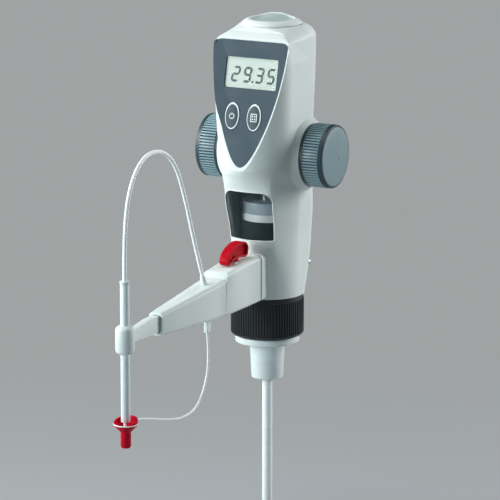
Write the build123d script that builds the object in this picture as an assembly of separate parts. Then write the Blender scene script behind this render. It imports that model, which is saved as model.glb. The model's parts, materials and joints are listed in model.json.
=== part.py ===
from build123d import *
import os
from math import acos, cos, degrees, hypot, pi, radians, sin, sqrt, tan

os.makedirs("parts", exist_ok=True)

# Millimetres. The origin is the centre of the underside of the bottle adapter's
# flange, +Z is up and the delivery arm points towards -Y.

# Clearances
RUN = 0.05          # running fit, on the radius
SEAT = 0.3          # room round a piece that sits in a seat
SKIN = 0.05         # between two shaped faces that lie together

# Bottle joint
FLANGE_R = 26.5
FLANGE_T = 5.5
CONE_TOP_R = 14.6
CONE_LOW_R = 13.05
CONE_LENGTH = 31.0
THREAD_R = 21.8
THREAD_TOP = 24.0
ADAPTER_BORE = 10.5
WASHER_T = 2.5
COLLAR_R = 30.0
COLLAR_LOW = 6.0
COLLAR_TOP = 40.0
COLLAR_RIBS = 80
RIB_DEPTH = 0.8
LIP_R = 19.7

# Housing
FLOOR_LOW = 40.6
HEAD_TOP = 260.0
WALL = 2.4
FLOOR_T = 2.4
CEILING = 253.6
TOP_ROUND = 8.0
SPLIT_Y = 8.0
FACE_Y = 26.9       # the display face passes Y = -26.9 at z = 252.4
FACE_Z = 252.4
FACE_SLOPE = 0.223

# Height, half width, start of the front curve, first and second curve handles,
# front reach, rear reach, rear corner radius, then the pull on the front corner
# sideways and forwards, and how softly the curve turns there
STATIONS = [
    (40.6, 29.9, 0.5, 16.7, 16.5, 29.9, 29.9, 28.5, 0, 0, 1.0),
    (58.0, 29.4, 0.5, 17.3, 16.2, 31.0, 33.2, 23.8, 0, 0, 1.0),
    (75.0, 29.0, 0.5, 17.9, 16.0, 32.0, 35.5, 20.0, -0.8, 1.4, 0.7),
    (91.0, 28.9, 1.0, 18.8, 16.0, 33.1, 36.5, 18.6, -1.5, 3.6, 0.35),
    (105.0, 30.2, 2.0, 20.0, 16.7, 34.2, 36.6, 19.5, -1.5, 4.5, 0.3),
    (120.0, 31.8, 4.0, 22.0, 18.3, 36.2, 36.6, 23.5, -1.5, 5.6, 0.3),
    (131.0, 32.0, 8.0, 24.0, 17.0, 38.8, 36.6, 24.5, -1.4, 5.1, 0.4),
    (142.0, 31.7, 14.0, 28.0, 16.0, 45.0, 36.6, 25.0, -0.6, 1.9, 0.7),
    (150.0, 31.5, 18.0, 31.0, 16.0, 49.9, 36.6, 25.0, 0, 0, 1.0),
    (162.0, 31.7, 20.0, 32.0, 17.0, 49.9, 36.6, 25.0, 0, 0, 1.0),
    (178.0, 32.5, 21.0, 33.5, 17.5, 49.9, 36.6, 25.0, 0, 0, 1.0),
    (194.0, 33.1, 22.0, 35.0, 18.0, 49.9, 36.7, 25.0, 0, 0, 1.0),
    (212.0, 33.6, 22.0, 36.0, 19.0, 49.9, 37.0, 24.5, 0, 0, 1.0),
    (228.0, 34.0, 22.0, 37.0, 20.0, 49.9, 37.4, 24.5, 0, 0, 1.0),
    (260.0, 34.3, 22.0, 37.0, 21.0, 49.9, 38.0, 25.0, 0, 0, 1.0),
]
HEIGHTS = [40.6, 50, 58, 66, 75, 83, 91, 98, 105, 112, 118, 124, 129, 134, 138,
           142, 146, 150, 154, 158, 170, 190, 212, 235, 260]

# Window and display
WINDOW_HALF_LOW = 19.5
WINDOW_HALF_HIGH = 21.8
WINDOW_LOW = 90.0
WINDOW_HIGH = 130.8
WINDOW_ROUND = 8.0
PANE_INSET = 0.1
PANE_T = 1.8
PANEL_DEPTH = 1.0
PANEL_MARGIN = 0.8
BACKING = 3.0       # panel recess and the wall behind it
LCD_MID = (1.9, 27.7)
LCD_SIZE = (46.6, 24.6)
MODULE_SIZE = (50.0, 28.0)
POWER_AT = (-11.0, -7.4)
MODE_AT = (8.7, -7.4)
BUTTON_RX = 6.4
BUTTON_RY = 11.0
BUTTON_TRAVEL = 0.8
BOARD_DEPTH = 8.0

# Piston and cylinder
BORE_R = 21.0
GLASS_R = 23.2
GLASS_LOW = 76.0
GLASS_TOP = 146.0
SEAL_LOW = 102.5
SEAL_TOP = 108.5
PISTON_TOP = 118.0
ROD_R = 6.0
ROD_TOP = 214.0
ROD_FLAT = 4.64
RACK_LOW = 147.0

# Drive
DRIVE_Y = 8.0
WHEEL_Z = 157.0
LAY_Z = 181.0
MODULE = 0.8
DRIVE_TEETH = 12
REDUCTION_TEETH = 48
RACK_TEETH = 10
ADDENDUM = 0.64
DEDENDUM = 1.0
PRESSURE = 25.0
THIN = 0.2          # taken off each tooth for backlash
SHAFT_R = 3.0
LAYSHAFT_R = 1.5
WHEEL_IN = 37.4
WHEEL_OUT = 57.5
WHEEL_R = 26.0
WHEEL_RIBS = 66
WHEEL_RIB = 0.7
BOSS_FACE = 37.0
BUSH_R = 5.0

# Frame inside
DECK_LOW = 146.0
DECK_TOP = 150.0
CHEEK_IN = 19.0
CHEEK_T = 2.0
BRIDGE_LOW = 203.5
BRIDGE_TOP = 206.0

# Delivery side
DUCT_Z = 58.0
VALVE_Y = -62.0
VALVE_R = 8.5
PLUG_R = 4.55
ARM_END = -188.0
ARM_WALL = 1.8
BAR_HALF = 3.25
TUBE_Y = -236.5
TUBE_R = 3.6
TUBE_LOW = -12.0
TUBE_TOP = 96.5
HOSE_R = 1.6
STRAP_R = 0.9

MIN, MID = Align.MIN, Align.CENTER


def cyl(radius, low, high, x=0, y=0):
    """Upright cylinder between two heights."""
    return Pos(x, y, low) * Cylinder(radius, high - low, align=(MID, MID, MIN))


def rod_x(radius, left, right, y, z):
    """Cylinder along X."""
    return Pos(left, y, z) * Rot(0, 90, 0) * Cylinder(radius, right - left, align=(MID, MID, MIN))


def rod_y(radius, front, back, x, z):
    """Cylinder along Y."""
    return Pos(x, front, z) * Rot(-90, 0, 0) * Cylinder(radius, back - front, align=(MID, MID, MIN))


def box(x0, x1, y0, y1, z0, z1):
    """Box between six limits."""
    return Pos((x0 + x1) / 2, (y0 + y1) / 2, (z0 + z1) / 2) * Box(x1 - x0, y1 - y0, z1 - z0)


def turned(points, x=0, y=0):
    """Turn a profile of (radius, height) points about an upright axis."""
    face = Plane.XZ * make_face(Polyline(*points, close=True))
    return Pos(x, y, 0) * revolve(face, Axis.Z)


def turned_x(points, y, z):
    """Turn a profile of (radius, X) points about an axis along X."""
    return Pos(0, y, z) * Rot(0, 90, 0) * turned(points)


def smooth_rows(rows, heights):
    """Monotone cubic interpolation of every column of the station table."""
    count = len(rows)
    out = []
    for z in heights:
        i = max(j for j in range(count - 1) if rows[j][0] <= z + 1e-9)
        span = rows[i + 1][0] - rows[i][0]
        t = (z - rows[i][0]) / span
        new = [z]
        for c in range(1, len(rows[0])):
            rise = [(rows[j + 1][c] - rows[j][c]) / (rows[j + 1][0] - rows[j][0])
                    for j in range(count - 1)]
            ends = []
            for j in (i, i + 1):
                if j == 0:
                    ends.append(rise[0])
                elif j == count - 1:
                    ends.append(rise[-1])
                elif rise[j - 1] * rise[j] <= 0:
                    ends.append(0.0)
                else:
                    ends.append(2 * rise[j - 1] * rise[j] / (rise[j - 1] + rise[j]))
            new.append((2 * t**3 - 3 * t**2 + 1) * rows[i][c] + (t**3 - 2 * t**2 + t) * ends[0] * span
                       + (3 * t**2 - 2 * t**3) * rows[i + 1][c] + (t**3 - t**2) * ends[1] * span)
        out.append(tuple(new))
    return out


def slice_face(row, inset):
    """One level slice of the housing, taken in by an inset."""
    z, a, y0, y1, k, ya, yb, rb, aside, ahead, soft = row
    y1 = y0 + (y1 - y0) * (ya - inset - y0) / (ya - y0)
    k = k * (a - inset) / a
    a, ya, yb, rb = a - inset, ya - inset, yb - inset, rb - inset
    c = a - rb + rb * sqrt(0.5)
    d = yb - rb + rb * sqrt(0.5)
    # The front curve is cut in two at its middle, which is pulled out to a corner
    mid_x, mid_y = (4 * a + 3 * k) / 8, (y0 + 3 * y1 + 4 * ya) / 8
    corner_x, corner_y = mid_x + aside, mid_y + ahead
    side_x = corner_x + soft * ((3 * a + k) / 4 - mid_x)
    side_y = corner_y + soft * ((y0 + 2 * y1 + ya) / 4 - mid_y)
    front_x = corner_x + soft * ((a + 2 * k) / 4 - mid_x)
    front_y = corner_y + soft * ((y1 + 3 * ya) / 4 - mid_y)
    start_y = (y0 + y1) / 2 - ahead / 2
    half = []
    for s in (1, -1):
        half.append((Bezier((s * a, -y0, z), (s * a, -start_y, z), (s * side_x, -side_y, z),
                            (s * corner_x, -corner_y, z)),
                     Bezier((s * corner_x, -corner_y, z), (s * front_x, -front_y, z),
                            (s * k / 2, -ya, z), (0, -ya, z))))
    edges = [
        *half[0],
        *half[1],
        Line((-a, -y0, z), (-a, yb - rb, z)),
        ThreePointArc((-a, yb - rb, z), (-c, d, z), (-a + rb, yb, z)),
        Line((-a + rb, yb, z), (a - rb, yb, z)),
        ThreePointArc((a - rb, yb, z), (c, d, z), (a, yb - rb, z)),
        Line((a, yb - rb, z), (a, -y0, z)),
    ]
    return Face(Wire(edges))


SLICES = smooth_rows(STATIONS, HEIGHTS)


def housing_form(inset, low=0, high=len(HEIGHTS)):
    """The outer form of the housing, taken in by an inset."""
    return loft([slice_face(row, inset) for row in SLICES[low:high]], ruled=True)


# The plane of the display face: local y runs up it and z points out of it
FACE = Plane(origin=(0, -(FACE_Y + FACE_SLOPE * (FACE_Z - 200)), 200), x_dir=(1, 0, 0),
             z_dir=(0, -1, FACE_SLOPE))


def face_block(x0, x1, y0, y1, inner, outer):
    """Box in the frame of the display face."""
    return FACE * box(x0, x1, y0, y1, inner, outer)


def face_oval(at, rx, ry, inner, outer):
    """Oval plate in the frame of the display face."""
    plate = extrude(Ellipse(rx, ry), outer - inner)
    return FACE * Pos(at[0], at[1], inner) * plate


def ahead_of_face(depth):
    """Everything further out than a depth under the display face."""
    return FACE * Pos(0, 0, 60 - depth) * Box(200, 400, 120)


def window_prism(margin, front, back):
    """The window's outline, grown by a margin, run along Y."""
    low, high = WINDOW_LOW - margin, WINDOW_HIGH + margin
    foot, top = WINDOW_HALF_LOW + margin, WINDOW_HALF_HIGH + margin
    plate = make_face(Polyline((-foot, low), (foot, low), (top, high), (-top, high), close=True))
    plate = fillet(plate.vertices().group_by(Axis.Y)[-1], WINDOW_ROUND + margin)
    plate = fillet(plate.vertices().group_by(Axis.Y)[0], 1.5 + margin)
    return extrude(Plane.XZ.offset(-back) * plate, back - front)


def ribbed_disc(radius, depth, count, height):
    """Disc with pointed ribs all round."""
    points = []
    for i in range(count):
        for k, r in ((0, radius), (0.5, radius - depth)):
            angle = 2 * pi * (i + k) / count
            points.append((r * cos(angle), r * sin(angle)))
    return extrude(make_face(Polyline(*points, close=True)), height)


def gear_blank(teeth, thickness, phase):
    """Involute gear lying in XY, with the middle of one tooth at the phase angle."""
    pitch_r = MODULE * teeth / 2
    base_r = pitch_r * cos(radians(PRESSURE))
    root_r = pitch_r - DEDENDUM
    tip_r = pitch_r + ADDENDUM
    inv = tan(radians(PRESSURE)) - radians(PRESSURE)
    half = pi / (2 * teeth) - THIN / 2 / (2 * pitch_r)
    flank = []
    low = max(root_r, base_r)
    for i in range(4):
        r = low + (tip_r - low) * i / 3
        roll = acos(min(1.0, base_r / r))
        flank.append((r, half + inv - (tan(roll) - roll)))
    if root_r < base_r:
        flank.insert(0, (root_r, flank[0][1]))
    points = []
    for i in range(teeth):
        centre = radians(phase) + 2 * pi * i / teeth
        for r, w in flank:
            points.append((r * cos(centre - w), r * sin(centre - w)))
        for r, w in reversed(flank):
            points.append((r * cos(centre + w), r * sin(centre + w)))
    return extrude(make_face(Polyline(*points, close=True)), thickness)


def gear_x(teeth, left, right, z, phase, bore):
    """Gear on the drive plane, on an axis along X.  Phase 0 points down."""
    blank = gear_blank(teeth, right - left, phase) - cyl(bore, -1, right - left + 1)
    return Pos(left, DRIVE_Y, z) * Rot(0, 90, 0) * blank


def cord(points, radius):
    """Tube through straight runs joined by the widest arcs that fit."""
    runs = [hypot(q[0] - p[0], q[1] - p[1]) for p, q in zip(points, points[1:])]
    radii = []
    for i in range(1, len(points) - 1):
        (ay, az), (by, bz), (cy, cz) = points[i - 1], points[i], points[i + 1]
        dot = ((by - ay) * (cy - by) + (bz - az) * (cz - bz)) / (runs[i - 1] * runs[i])
        turn = acos(max(-1.0, min(1.0, dot)))
        radii.append(0.45 * min(runs[i - 1], runs[i]) / tan(turn / 2))
    path = FilletPolyline(*[(0, y, z) for y, z in points], radius=radii)
    start = Plane(origin=path @ 0, z_dir=path % 0)
    tube = sweep(start * Circle(radius), path=path)
    print("cord, radii", [round(r, 1) for r in radii], "length", round(path.length, 1),
          "volume share", round(tube.volume / (pi * radius**2 * path.length), 3))
    return tube


def save(name, *shapes):
    """Write one node, which may hold several equal pieces."""
    shape = shapes[0] if len(shapes) == 1 else Compound(children=[Part(s.wrapped) for s in shapes])
    export_step(shape, f"parts/{name}.step")
    print(name, round(sum(s.volume for s in shapes)))


# Bottle joint
adapter = turned([(ADAPTER_BORE, THREAD_TOP), (ADAPTER_BORE, -CONE_LENGTH), (CONE_LOW_R, -CONE_LENGTH),
                  (CONE_TOP_R, 0), (FLANGE_R, 0), (FLANGE_R, FLANGE_T), (THREAD_R, FLANGE_T),
                  (THREAD_R, THREAD_TOP)])
save("bottle_adapter", adapter)
washer_top = THREAD_TOP + WASHER_T
save("sealing_washer", cyl(THREAD_R, THREAD_TOP, washer_top) - cyl(12, 20, 30))

ribs = Pos(0, 0, COLLAR_LOW) * ribbed_disc(COLLAR_R, RIB_DEPTH, COLLAR_RIBS, COLLAR_TOP - COLLAR_LOW)
collar_body = turned([(0, COLLAR_LOW), (26.6, COLLAR_LOW), (28.9, COLLAR_LOW + 1.2),
                      (COLLAR_R, COLLAR_LOW + 4), (COLLAR_R, COLLAR_TOP), (0, COLLAR_TOP)])
collar = (ribs & collar_body) + cyl(COLLAR_R - RIB_DEPTH, 36.5, COLLAR_TOP)
collar_bore = THREAD_R + 0.4
lip_low = washer_top + 6.5
collar = collar - cyl(collar_bore, 5, lip_low) - cyl(LIP_R, 5, 50)
save("screw_collar", collar)

# Valve block with the filling valve under it
block_flange_low = washer_top + SEAT
block_low = FLOOR_LOW + FLOOR_T
block_r = GLASS_R + 0.5
block = turned([(0, 8), (9.5, 8), (9.5, block_flange_low), (THREAD_R, block_flange_low),
                (THREAD_R, lip_low - SEAT), (LIP_R - SEAT, lip_low - SEAT), (LIP_R - SEAT, block_low),
                (22, block_low), (22, GLASS_LOW - 6.5), (block_r, GLASS_LOW - 5.5),
                (block_r, GLASS_LOW - 2), (0, GLASS_LOW - 2)])
block = block + rod_y(6, -30, 0, 0, DUCT_Z)
block = block - rod_y(2, -31, 0, 0, DUCT_Z) - cyl(2, DUCT_Z, 75) - cyl(5.85, 7, 22.3)
block = block - cyl(1.5, 22, DUCT_Z)
save("valve_block", block)
valve = cyl(5.8, 7.7, 22) + cyl(7.5, -6, 7.7) + cyl(3.45, -22, -6) - cyl(2, -23, 9) - cyl(3.2, 8, 23)
save("filling_valve", valve)
save("valve_ball", Pos(0, 0, 11.3) * Sphere(2.6))
save("suction_tube_upper", cyl(4.15, -160, -6.3) - cyl(3.5, -161, -6))
save("suction_tube_lower", cyl(3.4, -180, -40) - cyl(2.7, -181, -39))

# Cylinder and piston
save("cylinder_seal", cyl(GLASS_R, GLASS_LOW - 2, GLASS_LOW) - cyl(4, 73, 77))
save("glass_cylinder", cyl(GLASS_R, GLASS_LOW, GLASS_TOP) - cyl(BORE_R, 75, 147))
cradle_in = GLASS_R + SEAT
cradle = cyl(cradle_in + 1.8, GLASS_LOW, GLASS_TOP) - cyl(cradle_in, 75, 147)
save("cylinder_cradle", cradle & box(-40, 40, 2, 40, 70, 150))
seal_ring = cyl(BORE_R - RUN, SEAL_LOW, SEAL_TOP) - cyl(BORE_R - 2.5, 100, 110)
save("piston_seal", seal_ring)
head_disc = cyl(BORE_R - 0.4, SEAL_TOP, PISTON_TOP) + cyl(BORE_R - 2.5, SEAL_LOW, SEAL_TOP)
save("piston_head", head_disc)
rod = cyl(ROD_R, PISTON_TOP, ROD_TOP) - box(-10, 10, ROD_FLAT, 10, PISTON_TOP - 1, 215)
pitch = pi * MODULE
rack_y = DRIVE_Y - MODULE * RACK_TEETH / 2
slope = tan(radians(PRESSURE))
space_tip = pitch / 2 + THIN / 2 + 2 * (ROD_FLAT + 0.5 - rack_y) * slope
space_root = pitch / 2 + THIN / 2 - 2 * DEDENDUM * slope
first = -int((LAY_Z - RACK_LOW - 2) / pitch)
last = int((ROD_TOP - LAY_Z - 2) / pitch)
for i in range(first, last + 1):
    z = LAY_Z + i * pitch
    notch = Polyline((ROD_FLAT + 0.5, z - space_tip / 2), (rack_y - DEDENDUM, z - space_root / 2),
                     (rack_y - DEDENDUM, z + space_root / 2), (ROD_FLAT + 0.5, z + space_tip / 2),
                     close=True)
    rod = rod - extrude(Plane.YZ.offset(-10) * make_face(notch), 20)
save("piston_rod", rod)

# Housing
outer = housing_form(0)
head = outer - ahead_of_face(0)
head = fillet(head.edges().filter_by(lambda e: e.bounding_box().min.Z > HEAD_TOP - 0.01), TOP_ROUND)
boss_in = 18.0
boss_r = 31.6
boss_rear = 31.0
hub_r = BUSH_R + 3
boss = turned_x([(0, boss_in), (boss_r, boss_in), (boss_r, 30), (26.4, BOSS_FACE), (0, BOSS_FACE)],
                DRIVE_Y, WHEEL_Z)
boss = boss & box(0, 60, -60, boss_rear, 100, 220)
left_boss = mirror(boss, about=Plane.YZ)
pocket = rod_x(25, 20, BOSS_FACE - WALL, DRIVE_Y, WHEEL_Z) - rod_x(hub_r, 20, 60, DRIVE_Y, WHEEL_Z)
pocket = pocket & box(0, 60, -60, boss_rear - 4, 100, 220)
left_pocket = mirror(pocket, about=Plane.YZ)
cavity = housing_form(WALL) & box(-60, 60, -60, 60, FLOOR_LOW + FLOOR_T, CEILING)
cavity = cavity - ahead_of_face(BACKING)
shell = head + boss + left_boss - cavity - pocket - left_pocket

screw_places = [(25.3, 64.0, 21.0), (26.0, 215.0, 26.5)]
posts = [rod_y(2.9, -40, SPLIT_Y, s * x, z) + rod_y(4.3, SPLIT_Y, 40, s * x, z)
         for x, z, seat in screw_places for s in (-1, 1)]
inner_form = housing_form(0.6) - ahead_of_face(BACKING - 1)
for post in posts:
    shell = shell + (post & inner_form)
for x, z, seat in screw_places:
    for s in (-1, 1):
        shell = shell - rod_y(1.5 + RUN, -12, 30, s * x, z) - rod_y(3.1, seat, 60, s * x, z)

for x, y in [(sx * 18.6, y) for sx in (-1, 1) for y in (-19.2, 44)]:
    shell = shell + FACE * cyl(1.8, -BOARD_DEPTH, -BACKING + 0.5, x, y)
shell = shell - rod_x(BUSH_R + RUN, -60, 60, DRIVE_Y, WHEEL_Z)
shell = shell - cyl(LIP_R, 30, block_low + 1)
shell = shell - window_prism(0, -70, -10)
panel_form = housing_form(PANEL_MARGIN, 15) - ahead_of_face(0)
panel_top = (FACE_Z - 200) / cos(radians(12.57))
outline = RectangleRounded(66.8, 140, 6)
panel_block = extrude(FACE * Pos(0, panel_top - 70, -PANEL_DEPTH) * outline, PANEL_DEPTH + 5)
shell = shell - (panel_block & housing_form(PANEL_MARGIN, 15))
lx, ly = LCD_MID
mw, mh = MODULE_SIZE
shell = shell - face_block(lx - mw / 2 - SEAT, lx + mw / 2 + SEAT, ly - mh / 2 - SEAT,
                           ly + mh / 2 + SEAT, -6, 0)
for at in (POWER_AT, MODE_AT):
    shell = shell - face_oval(at, BUTTON_RX + SEAT, BUTTON_RY + SEAT, -6, 0)
cap_y = 7.5
shell = shell - cyl(24.8, 256, 270, 0, cap_y)
shell = shell - rod_y(6.2, -60, -20, 0, DUCT_Z)
hatch = box(-12, 12, 25, 60, 206, 252)
shell = shell - hatch
front_half = shell & box(-60, 60, -60, SPLIT_Y, 30, 280)
rear_half = shell & box(-60, 60, SPLIT_Y, 60, 30, 280)
save("front_housing", front_half)
save("rear_housing", rear_half)
hatch_skin = (outer - housing_form(WALL)) & box(-11.7, 11.7, 25, 60, 206.3, 251.7)
save("battery_cover", hatch_skin)

pane = housing_form(PANE_INSET, 3, 16) - housing_form(PANE_INSET + PANE_T, 3, 16)
pane = pane & window_prism(-SEAT, -70, -10)
save("window_pane", pane)
lw, lh = LCD_SIZE
panel_in = PANEL_DEPTH - SKIN
plate_outline = RectangleRounded(66.6, 139.8, 5.9)
panel = extrude(FACE * Pos(0, panel_top - 70, -panel_in) * plate_outline, panel_in)
panel = panel & housing_form(PANEL_MARGIN + 0.1, 15)
panel = panel - face_block(lx - lw / 2, lx + lw / 2, ly - lh / 2, ly + lh / 2, -3, 1)
for at in (POWER_AT, MODE_AT):
    panel = panel - face_oval(at, BUTTON_RX + 0.25, BUTTON_RY + 0.25, -3, 1)
save("display_panel", panel)
save("display_window", face_block(lx - lw / 2 + 0.2, lx + lw / 2 - 0.2, ly - lh / 2 + 0.2,
                                  ly + lh / 2 - 0.2, -panel_in, -0.1))
save("lcd_module", face_block(lx - mw / 2, lx + mw / 2, ly - mh / 2, ly + mh / 2, -5.3, -panel_in - 0.3))
board_back = -BOARD_DEPTH - 1.5
board = face_block(-21, 21, -22, 46, board_back, -BOARD_DEPTH)
save("circuit_board", board)
domes = [FACE * cyl(3, -BOARD_DEPTH, -5.3, *at) for at in (POWER_AT, MODE_AT)]
save("switch_domes", *domes)
for name, at in (("power_button", POWER_AT), ("mode_button", MODE_AT)):
    button = face_oval(at, BUTTON_RX, BUTTON_RY, -3.2, 0.35)
    button = button + face_oval(at, BUTTON_RX + 1.2, BUTTON_RY + 1.2, -4.2, -3.2)
    save(name, button)

# Top cap
cap = turned([(0, 256.2), (24.5, 256.2), (24.5, 261.5), (19.4, 266.8), (17.8, 266.8),
              (16.6, 264.3), (0, 264.3)], 0, cap_y)
save("top_cap", cap)

# Power
holder = box(-13, 13, 20.5, 33.5, 204, 253)
cell_y = 27.8
for x in (-6, 6):
    holder = holder - cyl(5.5, 205.5, 251.5, x, cell_y) - box(x - 5.5, x + 5.5, cell_y, 40, 205.5, 251.5)
save("battery_holder", holder)
cells = [cyl(5.2, 205.8, 250, x, cell_y) + cyl(1.9, 250, 250.9, x, cell_y) for x in (-6, 6)]
save("batteries", *cells)

# Inner frame
deck = box(-28.4, 28.4, -14, 26, DECK_LOW, DECK_TOP)
deck = chamfer(deck.edges().filter_by(Axis.Z).group_by(Axis.Y)[-1], 12)
cheeks = box(-CHEEK_IN - CHEEK_T, CHEEK_IN + CHEEK_T, -6, 24, DECK_TOP, BRIDGE_LOW)
cheeks = cheeks - box(-CHEEK_IN, CHEEK_IN, -10, 30, DECK_TOP - 1, BRIDGE_LOW + 1)
bridge = box(-CHEEK_IN - CHEEK_T, CHEEK_IN + CHEEK_T, -9, 20, BRIDGE_LOW, BRIDGE_TOP)
frame = deck + cheeks + bridge
frame = frame - cyl(ROD_R + RUN, 140, 210) - rod_x(SHAFT_R + SEAT, -30, 30, DRIVE_Y, WHEEL_Z)
frame = frame - rod_x(LAYSHAFT_R + RUN, -30, 30, DRIVE_Y, LAY_Z)
save("inner_frame", frame)

# Drive train
save("wheel_shaft", rod_x(SHAFT_R, -55.8, 55.8, DRIVE_Y, WHEEL_Z))
wheel = Pos(WHEEL_IN + 2, DRIVE_Y, WHEEL_Z) * Rot(0, 90, 0) * ribbed_disc(
    WHEEL_R, WHEEL_RIB, WHEEL_RIBS, WHEEL_OUT - WHEEL_IN - 3.6)
band_r = WHEEL_R - 0.4
wheel = wheel + turned_x([(0, WHEEL_IN), (band_r - 0.6, WHEEL_IN), (band_r, WHEEL_IN + 0.6),
                          (band_r, WHEEL_IN + 2), (0, WHEEL_IN + 2)], DRIVE_Y, WHEEL_Z)
wheel = wheel + turned_x([(0, WHEEL_OUT - 1.6), (band_r, WHEEL_OUT - 1.6), (band_r, WHEEL_OUT - 0.6),
                          (band_r - 0.6, WHEEL_OUT), (0, WHEEL_OUT)], DRIVE_Y, WHEEL_Z)
hollow = rod_x(22, WHEEL_IN - 1, WHEEL_IN + 15, DRIVE_Y, WHEEL_Z) - rod_x(6, 30, 60, DRIVE_Y, WHEEL_Z)
cover_in = WHEEL_OUT - 1.5
wheel = wheel - hollow - rod_x(SHAFT_R, 30, 60, DRIVE_Y, WHEEL_Z)
wheel = wheel - rod_x(24.5, cover_in, 60, DRIVE_Y, WHEEL_Z)
cover = rod_x(24.3, cover_in, WHEEL_OUT + 0.1, DRIVE_Y, WHEEL_Z)
cover = cover - Pos(WHEEL_OUT + 0.6, DRIVE_Y + 4.4, WHEEL_Z) * Sphere(1.2)
save("right_handwheel", wheel)
save("left_handwheel", mirror(wheel, about=Plane.YZ))
save("wheel_covers", cover, mirror(cover, about=Plane.YZ))
bush = rod_x(BUSH_R, 30, BOSS_FACE, DRIVE_Y, WHEEL_Z) - rod_x(SHAFT_R + RUN, 29, 60, DRIVE_Y, WHEEL_Z)
save("wheel_bushes", bush, mirror(bush, about=Plane.YZ))
save("drive_pinion", gear_x(DRIVE_TEETH, 12.5, 16.5, WHEEL_Z, 180, SHAFT_R))
save("layshaft", rod_x(LAYSHAFT_R, -22, 22, DRIVE_Y, LAY_Z))
save("reduction_gear", gear_x(REDUCTION_TEETH, 13, 16, LAY_Z, 180 / REDUCTION_TEETH, LAYSHAFT_R)
     + rod_x(4, 10, 13, DRIVE_Y, LAY_Z) - rod_x(LAYSHAFT_R, 5, 20, DRIVE_Y, LAY_Z))
save("rack_pinion", gear_x(RACK_TEETH, -4, 4, LAY_Z, -90, LAYSHAFT_R))
disc = rod_x(14, -15.5, -14.5, DRIVE_Y, LAY_Z) + rod_x(4, -14.5, -11, DRIVE_Y, LAY_Z)
disc = disc - rod_x(LAYSHAFT_R, -20, 0, DRIVE_Y, LAY_Z)
for i in range(24):
    slot = box(-17, -13, -0.6, 0.6, 10.2, 12.8)
    disc = disc - Pos(0, DRIVE_Y, LAY_Z) * Rot(15 * i, 0, 0) * slot
save("encoder_disc", disc)
sensor = box(-18.9, -11.5, 17, 25, LAY_Z - 4, LAY_Z + 4) - box(-16.2, -13.8, 16, 22.6, 170, 190)
save("encoder_sensor", sensor)

# Screws
screws = []
for x, z, seat in screw_places:
    for s in (-1, 1):
        screw = rod_y(1.5, -10, seat, s * x, z) + rod_y(2.8, seat, seat + 2, s * x, z)
        screws.append(screw - box(s * x - 0.4, s * x + 0.4, seat + 1, seat + 3, z - 2, z + 2))
save("housing_screws", *screws)

# Delivery arm


def arm_slice(y, half, low, high, corner):
    """Upright slice across the arm."""
    return Plane.XZ.offset(-y) * Pos(0, (low + high) / 2) * RectangleRounded(2 * half, high - low, corner)


def arm_form(inset, root_y, end_y):
    """The arm's deep root and its tapering tail, taken in by an inset."""
    root = [(root_y, 12.5, 40.8, 78.6), (-60, 12.2, 40.6, 77.6), (-92 + inset, 11.2, 40.5, 75.4)]
    tail = [(-92 + inset, 10.9, 40.5, 70.9), (-106, 10.4, 41.0, 69.6), (end_y, 6.0, 45.3, 63.6)]
    bodies = []
    for rows in (root, tail):
        bodies.append(loft([arm_slice(y, w - inset, b + inset, t - inset, 3.2 - inset / 2)
                            for y, w, b, t in rows], ruled=True))
    return bodies[0] + bodies[1]


skin = housing_form(-SKIN, 0, 7)
arm = arm_form(0, -20, ARM_END)
arm = arm + loft([arm_slice(-20, 13.5, 40.8, 79.6, 4), arm_slice(-35, 13.3, 40.8, 79.2, 4)], ruled=True)
arm = arm - arm_form(ARM_WALL, -36, ARM_END - 0.1)
arm = arm - box(-10, 10, -40, -15, 44, 72) - skin - cyl(COLLAR_R + 1, 0, COLLAR_TOP + 0.6)
arm = arm - cyl(PLUG_R + SEAT, 70, 90, 0, VALVE_Y)

# The hose leaves the arm along the line of its first run
HOSE = [(-106.2, 64.6), (-122.5, 100.0), (-138.5, 142.0), (-155.5, 176.5), (-181.0, 191.5),
        (-209.5, 188.8), (-229.5, 167.5), (-236.7, 131.6), (TUBE_Y, TUBE_TOP + 0.1)]
run = hypot(HOSE[1][0] - HOSE[0][0], HOSE[1][1] - HOSE[0][1])
hose_dir = ((HOSE[1][0] - HOSE[0][0]) / run, (HOSE[1][1] - HOSE[0][1]) / run)
HOSE_AXIS = Plane(origin=(0, HOSE[0][0], HOSE[0][1]), x_dir=(1, 0, 0), z_dir=(0, *hose_dir))
arm = arm - HOSE_AXIS * cyl(2.9, 0, 20)
tab_y = -104.0
arm = arm - cyl(1.6, 30, 45, 0, tab_y)
save("delivery_arm", arm)
gland = HOSE_AXIS * (cyl(2.6, -2, 5.5) + turned([(0, 5.5), (2.85, 5.5), (2.7, 7.5), (2.0, 14), (0, 14)]))
gland = gland - HOSE_AXIS * cyl(HOSE_R + RUN, -3, 18)
save("hose_gland", gland)
anchor = box(-1.6, 1.6, tab_y - 3, tab_y + 3, 29.5, 40.2) + cyl(1.5, 40, 43.4, 0, tab_y)
anchor = anchor + cyl(2.6, 43.4, 44.6, 0, tab_y)
save("strap_anchor", anchor)

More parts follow.
